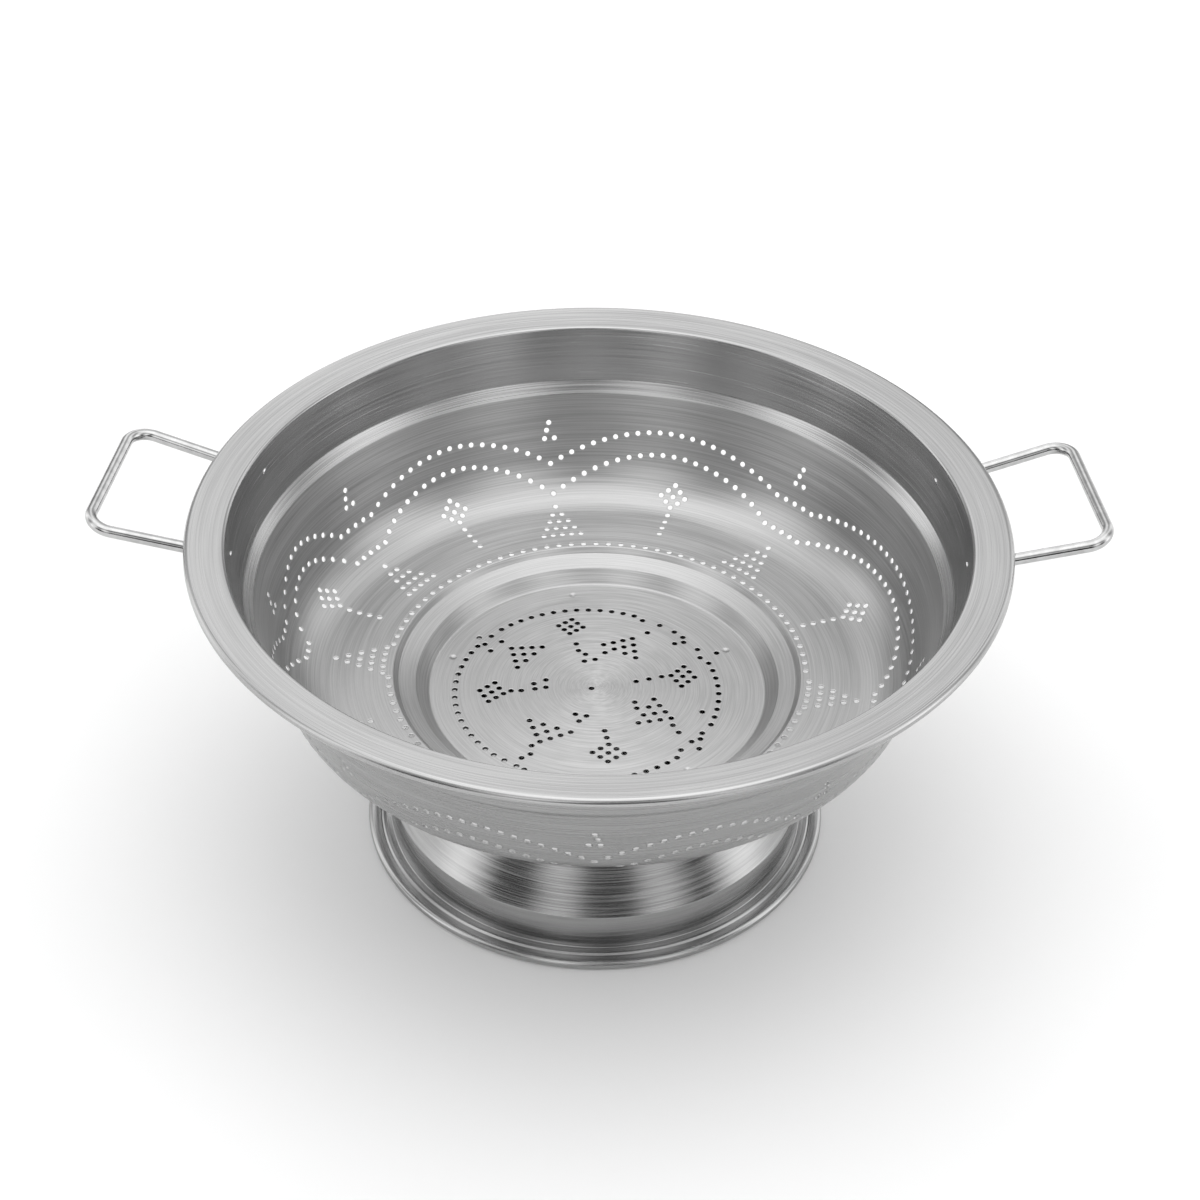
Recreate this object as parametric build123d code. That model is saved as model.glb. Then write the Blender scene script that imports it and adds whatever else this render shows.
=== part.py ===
from build123d import *
import math
import os

# A footed colander of stainless steel sheet with two wire handles.
# Lengths are in millimetres, angles in degrees. Z is up, the foot stands on z = 0,
# and X runs from the left handle to the right one.

# Whole object
rim_height = 159.0
rim_diameter = 340.0

# Bowl sheet
bowl_sheet = 0.8
curl_height = 4.6
curl_corner = 1.3
curl_return = 4.4
flange_width = 16.6
flange_fall = 1.8
collar_depth = 24.8
collar_taper = 5.7
step_drop = 4.7
step_width = 4.1
wall_taper = 13.6
floor_depth = 78.0
knuckle_radius = 24.0
well_diameter = 175.2
well_edge_width = 2.2
well_edge_drop = 2.4
well_slope_width = 7.3
well_slope_drop = 2.7
well_wall_width = 5.5
well_wall_drop = 5.5

# Punched holes
hole_width = 2.3
punch_overrun = 2.0
figure_angles = (46, 100, 146, 181, 225, 270, 310, 350)
side_drop = 7.0
festoon_pitch = 11.0
outer_festoon_crest = 18.8
outer_festoon_cusp = 33.2
inner_festoon_crest = 29.95
inner_festoon_cusp = 47.7
trefoil_top = 14.0
trefoil_height = 7.0
trefoil_width = 5.0
triangle_apex = 54.9
triangle_pitch = 5.0
triangle_rows = 3
flower_top = 42.1
flower_pitch = 4.6
flower_stem_holes = 2
floor_circle_gap = 1.8
floor_circle_holes = 48
disc_circle_inset = 15.8
disc_circle_holes = 30
star_count = 8
star_inset = 17.5
star_pitch = 4.6
star_inner_inset = 16.5
star_angle = 5.0

# Foot
foot_sheet = 0.8
foot_neck_inset = 1.6
foot_seat_width = 10.0
foot_neck_flare = 5.0
foot_waist_depth = 23.8
foot_waist_radius = 45.0
foot_waist_flare = 14.2
foot_band_height = 16.2
foot_band_taper = 0.8
foot_flange_height = 3.6
bead_reach = 11.1
bead_height = 4.4
bead_corner = 1.2
bead_width = 4.8
rib_inset = 2.6
rib_width = 2.5
rib_height = 0.9

# Handles
wire_diameter = 5.0
handle_reach = 39.5
handle_spread = 72.0
handle_splay = 8.0
handle_corner_radius = 9.5
handle_rise = 9.0
handle_angle = 7.0
rim_gap = 0.2
weld_reach = 3.4
weld_spread = 2.8

# Heights and radii that follow from the sizes above
rim_radius = rim_diameter / 2
lip_radius = rim_radius - flange_width
collar_foot_radius = lip_radius - collar_taper
step_radius = collar_foot_radius - step_width
lip_height = rim_height - flange_fall
collar_foot_height = lip_height - collar_depth
step_height = collar_foot_height - step_drop
floor_height = rim_height - floor_depth
wall_foot_radius = step_radius - wall_taper
well_radius = well_diameter / 2
ledge_radius = well_radius - well_edge_width
ledge_height = floor_height - well_edge_drop
brink_radius = ledge_radius - well_slope_width
brink_height = ledge_height - well_slope_drop
disc_radius = brink_radius - well_wall_width
disc_height = brink_height - well_wall_drop
disc_circle_radius = disc_radius - disc_circle_inset
star_radius = disc_circle_radius - star_inset
foot_top = disc_height - bowl_sheet
neck_radius = disc_radius - foot_neck_inset
waist_radius = neck_radius + foot_neck_flare
band_radius = waist_radius + foot_waist_flare


def bowl_line():
    """Upper face of the bowl sheet, from the rolled edge to the axis."""
    curl_foot = rim_height - curl_height
    return [
        (rim_radius - curl_return, curl_foot),
        (rim_radius - curl_corner, curl_foot),
        (rim_radius, curl_foot + curl_corner),
        (rim_radius, rim_height - curl_corner),
        (rim_radius - curl_corner, rim_height),
        (lip_radius, lip_height),
        (collar_foot_radius, collar_foot_height),
        (step_radius, step_height),
        (wall_foot_radius, floor_height),
        (well_radius, floor_height),
        (ledge_radius, ledge_height),
        (brink_radius, brink_height),
        (disc_radius, disc_height),
        (0, disc_height),
    ]


lip_corner = 5
collar_corner = 6
step_corner = 7
knuckle_corner = 8
well_corner = 9
bowl_bends = {knuckle_corner: knuckle_radius}


def bend(line, corner, radius):
    """The arc of one bend in a line: its centre, and where it starts and ends."""
    before, place, after = (Vector(*point) for point in line[corner - 1:corner + 2])
    back = (before - place).normalized()
    ahead = (after - place).normalized()
    half_turn = math.radians(back.get_angle(ahead)) / 2
    reach = radius / math.tan(half_turn)
    middle = (back + ahead).normalized()
    return place + middle * (radius / math.sin(half_turn)), place + back * reach, place + ahead * reach


def turns_left(line, corner):
    """Whether a line turns to its left at a corner."""
    before, place, after = (Vector(*point) for point in line[corner - 1:corner + 2])
    return (place - before).cross(after - place).Z > 0


def left_of(line, gap):
    """The same line moved to its left by a gap, its corners mitred."""
    runs = []
    for start, end in zip(line, line[1:]):
        along = (Vector(*end) - Vector(*start)).normalized()
        aside = Vector(-along.Y, along.X) * gap
        runs.append((Vector(*start) + aside, along, Vector(*end) + aside))
    moved = [runs[0][0]]
    for (start, along, _), (other, heading, _) in zip(runs, runs[1:]):
        travel = (other - start).cross(heading).Z / along.cross(heading).Z
        moved.append(start + along * travel)
    moved.append(runs[-1][2])
    return [(point.X, point.Y) for point in moved]


def bent_edges(line, bends):
    """Straight runs joined by arcs, on the XZ plane. bends is corner: radius."""
    edges = []
    place = line[0]
    for corner in range(1, len(line) - 1):
        radius = bends.get(corner, 0)
        if radius <= 0:
            edges.append(Line(flat(place), flat(line[corner])))
            place = line[corner]
            continue
        centre, start, end = bend(line, corner, radius)
        middle = centre + ((start + end) / 2 - centre).normalized() * radius
        edges.append(Line(flat(place), flat(start)))
        edges.append(ThreePointArc(flat(start), flat(middle), flat(end)))
        place = end
    edges.append(Line(flat(place), flat(line[-1])))
    return edges


def sheet(line, bends, thickness):
    """A turned sheet: the face between a bent line and its offset, spun about Z."""
    other = left_of(line, thickness)
    other_bends = {}
    for corner, radius in bends.items():
        growth = -thickness if turns_left(line, corner) else thickness
        other_bends[corner] = radius + growth
    ends = [Line(flat(line[0]), flat(other[0])), Line(flat(line[-1]), flat(other[-1]))]
    outline = Wire(bent_edges(line, bends) + bent_edges(other, other_bends) + ends)
    return revolve(make_face(outline), Axis.Z)


def flat(point):
    """A radius and a height as a point of the XZ plane."""
    radius, height = tuple(point)[:2]
    return (radius, 0, height)


def wall_point(distance):
    """Radius, height and slope angle of the wall, at a distance down from the step."""
    place = wall_path.position_at(distance, position_mode=PositionMode.LENGTH)
    along = wall_path.tangent_at(distance, position_mode=PositionMode.LENGTH)
    return place.X, place.Z, math.atan2(along.Z, along.X)


wall_path = Wire(bent_edges(bowl_line()[step_corner:well_corner + 1], {1: knuckle_radius}))


def punch(radius, height, heading, angle):
    """A square punch across the sheet, at one place of the bowl."""
    normal = Vector(math.sin(heading), 0, -math.cos(heading))
    place = Plane(origin=(radius, 0, height), x_dir=(0, 1, 0), z_dir=normal)
    tool = place * Box(hole_width, hole_width, bowl_sheet + punch_overrun + punch_overrun)
    return Rot(0, 0, angle) * tool


def wall_punch(distance, angle, aside=0.0):
    """A punch at a distance down the wall, and a distance aside from an angle."""
    lowered = distance + side_drop * math.cos(math.radians(angle)) ** 4
    radius, height, heading = wall_point(lowered)
    return punch(radius, height, heading, angle + math.degrees(aside / radius))


def disc_punch(radius, angle, aside=0.0):
    """A punch in the flat disc."""
    return punch(radius, disc_height, math.pi, angle + math.degrees(aside / max(radius, hole_width)))


def festoon(crest, cusp, left, right):
    """Holes along one arch, from one figure up to the crest and down to the next."""
    radius = wall_point(crest)[0]
    count = max(4, round(radius * math.radians(right - left) / festoon_pitch))
    tools = []
    for step in range(count):
        share = step / count
        sag = (2 * share - 1) ** 2
        tools.append(wall_punch(crest + (cusp - crest) * sag, left + (right - left) * share))
    return tools


def triangle(angle):
    """A triangle of holes that stands under a cusp, its point up."""
    tools = []
    for row in range(triangle_rows):
        for place in range(row + 1):
            aside = (place - row / 2) * triangle_pitch
            tools.append(wall_punch(triangle_apex + row * triangle_pitch, angle, aside))
    return tools


def flower(angle):
    """A square head of holes with a stem below it, in the middle of an arch."""
    tools = []
    for row in range(2):
        for place in range(2):
            aside = (place - 1 / 2) * flower_pitch
            tools.append(wall_punch(flower_top + row * flower_pitch, angle, aside))
    for hole in range(flower_stem_holes):
        tools.append(wall_punch(flower_top + (hole + 2) * flower_pitch, angle))
    return tools


def trefoil(angle):
    """One hole over a pair, above a cusp."""
    foot = trefoil_top + trefoil_height
    return [
        wall_punch(trefoil_top, angle),
        wall_punch(foot, angle, -trefoil_width / 2),
        wall_punch(foot, angle, trefoil_width / 2),
    ]


def wall_punches():
    """All the holes of the wall, figure by figure."""
    tools = []
    for index, angle in enumerate(figure_angles):
        following = figure_angles[(index + 1) % len(figure_angles)]
        if following < angle:
            following += 360
        tools += festoon(outer_festoon_crest, outer_festoon_cusp, angle, following)
        tools += festoon(inner_festoon_crest, inner_festoon_cusp, angle, following)
        tools += triangle(angle) + trefoil(angle)
        tools += flower((angle + following) / 2)
    return tools


def floor_circle_punches():
    """The circle of holes in the floor around the well."""
    turn = 360 / floor_circle_holes
    radius = well_radius + floor_circle_gap
    return [punch(radius, floor_height, math.pi, hole * turn) for hole in range(floor_circle_holes)]


def disc_punches():
    """The holes of the flat disc: a centre hole, a star of clusters and a circle."""
    tools = [disc_punch(0, 0)]
    for hole in range(disc_circle_holes):
        tools.append(disc_punch(disc_circle_radius, hole * 360 / disc_circle_holes))
    for star in range(star_count):
        angle = star_angle + star * 360 / star_count
        tools += [
            disc_punch(star_radius - star_pitch, angle),
            disc_punch(star_radius, angle, -star_pitch / 2),
            disc_punch(star_radius, angle, star_pitch / 2),
            disc_punch(star_radius + star_pitch, angle),
        ]
        if star % 2:
            tools.append(disc_punch(star_radius - star_inner_inset, angle))
    return tools


def bowl():
    """The bowl: rolled rim, flange, collar, step, wall, floor and well, all one sheet."""
    blank = sheet(bowl_line(), bowl_bends, bowl_sheet)
    return blank - (wall_punches() + floor_circle_punches() + disc_punches())


def foot_line():
    """Outer face of the foot sheet, from the curled bead up to the seat under the disc."""
    bead_edge = band_radius + bead_reach
    bead_inside = bead_edge - bead_width
    rib_start = band_radius + foot_band_taper + rib_inset
    crease_height = foot_flange_height + foot_band_height
    return [
        (bead_inside, 0),
        (bead_edge - bead_corner, 0),
        (bead_edge, bead_corner),
        (bead_edge, bead_height - bead_corner),
        (bead_edge - bead_corner, bead_height),
        (bead_inside, bead_height),
        (bead_inside, foot_flange_height),
        (rib_start + rib_width, foot_flange_height),
        (rib_start + rib_width / 2, foot_flange_height + rib_height),
        (rib_start, foot_flange_height),
        (band_radius + foot_band_taper, foot_flange_height),
        (band_radius, crease_height),
        (waist_radius, foot_top - foot_waist_depth),
        (neck_radius, foot_top),
        (neck_radius - foot_seat_width, foot_top),
    ]


def foot_ring():
    """The pedestal foot: seat under the disc, waist, band and curled bead."""
    waist_corner = 12
    return sheet(foot_line(), {waist_corner: foot_waist_radius}, foot_sheet)


def collar_core():
    """The solid space inside the collar's outer face, to shape what is welded on it."""
    lip, foot = left_of(bowl_line(), bowl_sheet)[lip_corner:collar_corner + 1]
    return revolve(make_face(Polyline(
        (0, 0, foot[1]),
        flat(foot),
        flat(lip),
        (0, 0, lip[1]),
        close=True,
    )), Axis.Z)


def leg_line(side):
    """Centre of one handle leg, from inside the collar out to the corner."""
    wire_radius = wire_diameter / 2
    low = rim_height - curl_height - rim_gap - wire_radius
    slope = handle_rise / handle_reach
    out = rim_radius + handle_reach - wire_radius
    inside = lip_radius - collar_taper
    splay = handle_splay / 2 / handle_reach
    outer = (out, side * handle_spread / 2, low + slope * (out - rim_radius))
    inner = (
        inside,
        side * (handle_spread / 2 - splay * (out - inside)),
        low - slope * (rim_radius - inside),
    )
    return inner, outer


def handle_wire():
    """The bent wire of the right handle, before it is turned to its place."""
    left_inner, left_outer = leg_line(1)
    right_inner, right_outer = leg_line(-1)
    path = FilletPolyline(left_inner, left_outer, right_outer, right_inner, radius=handle_corner_radius)
    start = Plane(origin=path @ 0, z_dir=path % 0)
    return sweep(start * Circle(wire_diameter / 2), path=path)


def weld(side):
    """The fillet of weld metal around one leg where it meets the collar."""
    inner, outer = (Vector(*point) for point in leg_line(side))
    along = (outer - inner).normalized()
    lip, foot = left_of(bowl_line(), bowl_sheet)[lip_corner:collar_corner + 1]
    wall_radius = lip[0] - (lip[0] - foot[0]) * (lip[1] - inner.Z) / (lip[1] - foot[1])
    wall_place = inner + along * ((wall_radius - inner.X) / along.X)
    wire_radius = wire_diameter / 2
    cone = Cone(wire_radius + weld_spread + weld_spread, wire_radius, weld_reach + weld_reach)
    return Plane(origin=wall_place, z_dir=along) * cone


def turned(shape, angle):
    return Rot(0, 0, angle) * shape


def main():
    core = collar_core()
    wire = handle_wire()
    trimmed = wire - core
    welds = [weld(side) - core - wire for side in (1, -1)]
    pieces = {
        "bowl": bowl(),
        "foot_ring": foot_ring(),
        "handle_right": turned(trimmed, handle_angle),
        "handle_left": turned(mirror(trimmed, Plane.YZ), -handle_angle),
        "handle_welds": Compound(
            [turned(bead, handle_angle) for bead in welds]
            + [turned(mirror(bead, Plane.YZ), -handle_angle) for bead in welds]
        ),
    }
    os.makedirs("parts", exist_ok=True)
    for name, piece in pieces.items():
        export_step(piece, f"parts/{name}.step")


main()
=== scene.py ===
import math

import bpy
from mathutils import Matrix, Vector
from mathutils.geometry import delaunay_2d_cdt


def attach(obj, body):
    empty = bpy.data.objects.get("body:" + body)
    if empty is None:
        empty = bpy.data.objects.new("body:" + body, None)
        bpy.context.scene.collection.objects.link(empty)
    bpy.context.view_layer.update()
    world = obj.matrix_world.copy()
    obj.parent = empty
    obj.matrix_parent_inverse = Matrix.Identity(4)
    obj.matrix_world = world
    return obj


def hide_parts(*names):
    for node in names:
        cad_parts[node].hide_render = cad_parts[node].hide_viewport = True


# A footed colander of brushed stainless steel. Lengths are in metres, angles in degrees,
# and Z is up. The camera looks along +Y, and X runs from the left handle to the right one.

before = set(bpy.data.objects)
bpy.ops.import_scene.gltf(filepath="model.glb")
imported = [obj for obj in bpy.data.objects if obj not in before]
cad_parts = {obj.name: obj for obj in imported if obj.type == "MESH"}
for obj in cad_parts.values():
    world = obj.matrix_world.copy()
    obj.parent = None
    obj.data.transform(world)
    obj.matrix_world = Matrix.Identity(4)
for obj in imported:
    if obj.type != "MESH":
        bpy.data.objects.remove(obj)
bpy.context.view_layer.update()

mm = 0.001
# Places nearer than tiny are the same, and the triangulation joins those nearer than join_gap
tiny = 1e-7
join_gap = tiny / 100

# Whole object
rim_height = 159 * mm
rim_radius = 170 * mm

# Bowl sheet, the same sizes as the solid's
bowl_sheet = 0.8 * mm
curl_height = 4.6 * mm
curl_return = 4.4 * mm
flange_width = 16.6 * mm
flange_fall = 1.8 * mm
collar_depth = 24.8 * mm
collar_taper = 5.7 * mm
step_drop = 4.7 * mm
step_width = 4.1 * mm
wall_taper = 13.6 * mm
floor_depth = 78 * mm
knuckle_radius = 24 * mm
well_radius = 87.6 * mm
well_edge_width = 2.2 * mm
well_edge_drop = 2.4 * mm
well_slope_width = 7.3 * mm
well_slope_drop = 2.7 * mm
well_wall_width = 5.5 * mm
well_wall_drop = 5.5 * mm

# Round bends of the bowl that the solid has as facets or sharp corners
curl_radius = 2.2 * mm
lip_bend = 1.6 * mm
step_bend = 1.8 * mm
well_bend = 0.9 * mm
ledge_bend = 0.8 * mm
brink_bend = 1.1 * mm
disc_bend = 1.6 * mm

# Punched holes
hole_radius = 1.2 * mm
hole_corners = 14
hole_spacing = 0.15 * mm
dimple_radius = 1.6 * mm
dimple_depth = 0.16 * mm
dimple_lean = 0.7
dimple_margin = 0.7 * mm
# Cells in which overlapping holes are looked for, and how many rows the map's stretch takes
cell_size = 4 * mm
cell_rows = 2
point_spacing = 4 * mm
wall_map_radius = 125 * mm
around_map = 2 * math.pi * wall_map_radius
plain_wall = 4 * mm
plain_disc = 3 * mm
seam_tries = 3600
# How near to the cut of the map a corner lies on it, as a share of a column
seam_share = 1e-4

# Figures of the wall: angle, half width of the flat between two arches, how much that
# flat is raised, top of the triangle
wall_figures = (
    (48.5, 4.5, 2.8 * mm, 55.0 * mm),
    (100, 0.0, 0.0, 54.7 * mm),
    (144.5, 4.5, 2.2 * mm, 54.5 * mm),
    (178, 2.0, 0.0, 60 * mm),
    (225, 2.0, 0.0, 56 * mm),
    (270, 0.0, 0.0, 55 * mm),
    (310, 2.0, 0.0, 55 * mm),
    (350, 2.0, 1.0 * mm, 54 * mm),
)
# How much lower the figures lie at the right and at the left
right_drop = 8 * mm
left_drop = 0.5 * mm
drop_power = 4
arch_power = 1.8
arch_pitch = 5.3 * mm
outer_crest = 16.9 * mm
outer_cusp = 33.2 * mm
inner_crest = 27.8 * mm
inner_cusp = 47.6 * mm
trefoil = ((13.2 * mm, 0), (16.9 * mm, 1.2 * mm), (20.9 * mm, -2.3 * mm), (20.9 * mm, 2.3 * mm))
triangle_rows = (1, 2, 3, 4, 5)
triangle_pitch = 5.2 * mm
triangle_spread = 4.3 * mm
flower_top = 41 * mm
flower_pitch = 4 * mm
flower_spread = 90
flower_stem = (57 * mm, 61.8 * mm, 66.6 * mm, 71.4 * mm)
floor_circle_radius = 89.7 * mm
floor_circle_holes = 99

# Figures of the disc, from its centre hole: rows, radius and angle of the outer corner,
# turn of the figure, spread between its sides, pitch
disc_centre = (-2.4 * mm, -0.9 * mm)
disc_circle_centre = (-2 * mm, -2.2 * mm)
disc_circle_radius = 57 * mm
disc_circle_holes = 68
square_rows = (3, 3, 3)
corner_rows = (4, 3, 2, 1)
disc_figures = (
    (square_rows, 48.7 * mm, 101, -15, 94, 3.7 * mm),
    (square_rows, 45.6 * mm, 11, -16, 105, 4.2 * mm),
    (square_rows, 48.0 * mm, -81, -10, 102, 4.3 * mm),
    (square_rows, 48.2 * mm, 183, -13, 101, 4.1 * mm),
    (corner_rows, 44.4 * mm, 143, 1, 82, 4.5 * mm),
    (corner_rows, 39.1 * mm, 63, -5, 76, 4.5 * mm),
    (corner_rows, 39.2 * mm, -29, 6, 73, 4.8 * mm),
    (corner_rows, 41.4 * mm, -121, 9, 83, 4.8 * mm),
)
# Runs of holes of the disc: how many, radius and angle of the first and of the last
disc_runs = (
    (3, 36.0 * mm, 103, 26.5 * mm, 103),
    (2, 23.5 * mm, 97, 18.8 * mm, 100),
    (1, 19.9 * mm, 86, 19.9 * mm, 86),
    (3, 31.7 * mm, 16, 20.0 * mm, 15),
    (2, 33.0 * mm, -78, 28.5 * mm, -78),
    (2, 34.8 * mm, 184, 30.4 * mm, 184),
    (2, 25.1 * mm, 174, 24.4 * mm, 182),
    (2, 20.5 * mm, 165, 19.7 * mm, 179),
    (2, 18.6 * mm, -111, 18.5 * mm, -96),
    (1, 22.4 * mm, -103, 22.4 * mm, -103),
    (2, 20.7 * mm, -25, 23.4 * mm, -33),
    (2, 42.1 * mm, -34, 46.8 * mm, -37),
    (1, 25.3 * mm, 77, 25.3 * mm, 77),
    (1, 45.4 * mm, -123, 45.4 * mm, -123),
    (3, 60.4 * mm, 146, 51.0 * mm, 151),
    (2, 56.8 * mm, 142, 50.8 * mm, 142),
    (2, 52.7 * mm, 65, 53.6 * mm, 56),
    (1, 46.1 * mm, 58, 46.1 * mm, 58),
    (2, 48.3 * mm, 41, 52.0 * mm, 39),
    (2, 52.4 * mm, 25, 60.5 * mm, 25),
    (1, 49.8 * mm, -17, 49.8 * mm, -17),
    (3, 55.2 * mm, -31, 54.9 * mm, -46),
    (1, 59.8 * mm, -40, 59.8 * mm, -40),
    (2, 59.6 * mm, -127, 59.6 * mm, -121),
    (2, 54.2 * mm, -122, 50.2 * mm, -120),
)
# Dents of the spot welds in the disc, from its centre hole: radius and angle
spot_welds = ((66 * mm, 98), (64 * mm, 162), (65 * mm, 25), (66 * mm, -52))
dent_radius = 2 * mm
dent_depth = 0.45 * mm
dent_rings = (0.0, 0.5 * mm, 1 * mm, 1.5 * mm, 2 * mm)
dent_steps = 12

# Foot, the same sizes as the solid's
foot_sheet = 0.8 * mm
foot_neck_inset = 1.6 * mm
foot_seat_width = 10 * mm
foot_neck_flare = 5 * mm
foot_waist_flare = 14.2 * mm
foot_waist_depth = 23.8 * mm
foot_band_height = 16.2 * mm
foot_band_taper = 0.8 * mm
foot_flange_height = 3.6 * mm
bead_reach = 11.1 * mm
bead_height = 4.4 * mm
bead_width = 4.8 * mm
rib_inset = 2.6 * mm
rib_width = 2.5 * mm
rib_height = 0.9 * mm
foot_flare_bend = 45 * mm

# Round bends of the foot that the solid has as facets or sharp corners
neck_bend = 2.5 * mm
bead_bend = 2.1 * mm
rib_bend = 0.5 * mm
crease_bend = 1.2 * mm

# Handles, the same sizes as the solid's
wire_radius = 2.5 * mm
handle_reach = 39.5 * mm
handle_spread = 72 * mm
handle_splay = 8 * mm
handle_corner_radius = 9.5 * mm
handle_rise = 9 * mm
handle_angle = 7.0
rim_gap = 0.2 * mm

# Where a leg meets the collar: how deep its end is sunk, and the weld round it
leg_sink = 0.3 * mm
weld_reach = 3.4 * mm
weld_spread = 2.2 * mm
weld_skin = 0.15 * mm
weld_wave_share = 0.06
weld_waves = 3
weld_rows = 8

# How finely the sheet and the wires are meshed
turn_steps = 240
row_step = 3.2 * mm
bend_step = 9
wire_sides = 32
corner_steps = 16

# Angle from which an edge looks sharp, and rounds in which a line is followed to the collar
sharp_angle = 50
collar_tries = 12

# Usual values of a noise, which are spread over a range of greys or roughness
noise_low = 0.3
noise_high = 0.7
cloud_detail = 3.0

# Sheet steel: lines of the brush per metre, turns of the pattern, greys and roughness
brush_lines = 2300
brush_turns = 2.5
brush_detail = 2.0
brush_depth = 0.015 * mm
brush_strength = 0.5
brush_axis_gap = 0.5 * mm
anisotropy_share = 0.8
anisotropy_turn_share = 0.25
patch_lines = 140
patch_turns = 3.0
patch_share = 0.2
bowl_greys = (0.36, 0.52)
bowl_roughness = (0.16, 0.28)
# The outside's greys hold painted shade: they are darker than the inside's greys of the same steel,
# standing in for the shadowed floor that the outer wall faces
outside_shaded_greys = (0.31, 0.42)
outside_roughness = (0.22, 0.34)
foot_greys = (0.34, 0.49)
foot_roughness = (0.14, 0.26)
# Heights between which the wall's satin begins, how much lighter and rougher it is
wall_satin = (126 * mm, 131 * mm, 0.04, 0.14)

# Wire and weld metal: scale of the unevenness, greys, roughness, depth and strength of the bump
wire_finish = (260.0, (0.44, 0.54), (0.06, 0.14), 0.03 * mm, 0.3)
weld_finish = (900.0, (0.34, 0.48), (0.3, 0.5), 0.25 * mm, 0.6)

# Floor
floor_reach = 4.0
floor_grey = 0.95
floor_roughness = 0.9

# Light tent. Heights run from 0 at the horizon to 1 overhead, and each pair says
# between which two of them a light changes. The turn of the panels is in radians
low_light = 0.75
middle_light = 1.05
middle_heights = (0.1, 0.6)
overhead_light = 0.9
overhead_heights = (0.7, 1.0)
side_light = 0.9
side_heights = (0.15, 0.5)
side_power = 4.0
panel_light = 0.5
panel_heights = (0.5, 1.0)
panel_count = 7.0
panel_turn = 0.6
# Shade on the camera's side: a low one, and a high one between two changes. Depths run
# from -1 on the camera's side to 1 on the far side
camera_shade = 0.65
shade_depths = (-0.6, -0.2)
low_shade_heights = (0.2, 0.4)
high_shade_start = (0.58, 0.7)
high_shade_end = (0.85, 0.97)

# Camera of the photograph, its roll in radians
photo_size = 1200
focal_pixels = 2529
sensor_width = 36.0
camera_place = (0, -0.8405, 0.7725)
camera_aim = (0.00071, 0, 0.118)
camera_roll = 0.0157


def bowl_line():
    """Upper face of the bowl sheet as radius and height, from the rolled edge to the axis."""
    lip_radius = rim_radius - flange_width
    lip_height = rim_height - flange_fall
    collar_foot_radius = lip_radius - collar_taper
    collar_foot_height = lip_height - collar_depth
    step_radius = collar_foot_radius - step_width
    step_height = collar_foot_height - step_drop
    floor_height = rim_height - floor_depth
    ledge_radius = well_radius - well_edge_width
    ledge_height = floor_height - well_edge_drop
    brink_radius = ledge_radius - well_slope_width
    brink_height = ledge_height - well_slope_drop
    disc_radius = brink_radius - well_wall_width
    disc_height = brink_height - well_wall_drop
    return [
        (rim_radius - curl_return, rim_height - curl_height),
        (rim_radius, rim_height - curl_height),
        (rim_radius, rim_height),
        (lip_radius, lip_height),
        (collar_foot_radius, collar_foot_height),
        (step_radius, step_height),
        (step_radius - wall_taper, floor_height),
        (well_radius, floor_height),
        (ledge_radius, ledge_height),
        (brink_radius, brink_height),
        (disc_radius, disc_height),
        (0, disc_height),
    ]


# Corners of the bowl's line by their number, and the bend at each
step_corner = 5
well_corner = 7
disc_corner = 10
bowl_bends = {
    1: curl_radius,
    2: curl_radius,
    3: lip_bend,
    4: step_bend,
    step_corner: step_bend,
    6: knuckle_radius,
    well_corner: well_bend,
    8: ledge_bend,
    9: brink_bend,
    disc_corner: disc_bend,
}


def bend(before, place, after, radius):
    """The centre of a bend at a corner, and the spokes to where it starts and ends."""
    back = (before - place).normalized()
    ahead = (after - place).normalized()
    half = back.angle(ahead) / 2
    centre = place + (back + ahead).normalized() * radius / math.sin(half)
    start = place + back * radius / math.tan(half) - centre
    end = place + ahead * radius / math.tan(half) - centre
    return centre, start, end


def smooth_line(line, bends, longest):
    """The line's points with its corners bent, no two further apart than longest."""
    turned = [Vector(line[0])]
    for corner in range(1, len(line) - 1):
        place = Vector(line[corner])
        if corner not in bends:
            turned.append(place)
            continue
        before = Vector(line[corner - 1])
        after = Vector(line[corner + 1])
        centre, start, end = bend(before, place, after, bends[corner])
        sweep = start.angle_signed(end)
        count = max(2, math.ceil(math.degrees(abs(sweep)) / bend_step))
        for step in range(count + 1):
            turned.append(centre + Matrix.Rotation(-sweep * step / count, 2) @ start)
    turned.append(Vector(line[-1]))
    points = [turned[0]]
    for start, end in zip(turned, turned[1:]):
        length = (end - start).length
        if length < tiny:
            continue
        count = max(1, math.ceil(length / longest))
        points += [start.lerp(end, step / count) for step in range(1, count + 1)]
    return points


class Profile:
    """A line of radius and height, read by the distance along it."""

    def __init__(self, points):
        self.points = points
        self.marks = [0.0]
        for start, end in zip(points, points[1:]):
            self.marks.append(self.marks[-1] + (end - start).length)
        self.normals = []
        for index in range(len(points)):
            before = points[max(0, index - 1)]
            after = points[min(len(points) - 1, index + 1)]
            along = (after - before).normalized()
            self.normals.append(Vector((along.y, -along.x)))

    def at(self, distance):
        """The place and the upper face's normal at a distance along the line."""
        low = 0
        high = len(self.marks) - 1
        while high - low > 1:
            middle = (low + high) // 2
            if self.marks[middle] <= distance:
                low = middle
            else:
                high = middle
        share = (distance - self.marks[low]) / (self.marks[high] - self.marks[low])
        place = self.points[low].lerp(self.points[high], share)
        return place, self.normals[low].lerp(self.normals[high], share).normalized()

    def nearest(self, point):
        """The number of the line's point nearest to a given one."""
        gaps = [(mark_point - Vector(point)).length for mark_point in self.points]
        return gaps.index(min(gaps))

    def after(self, mark):
        """The number of the first point past a distance along the line."""
        return min(index for index, here in enumerate(self.marks) if here > mark)


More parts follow.
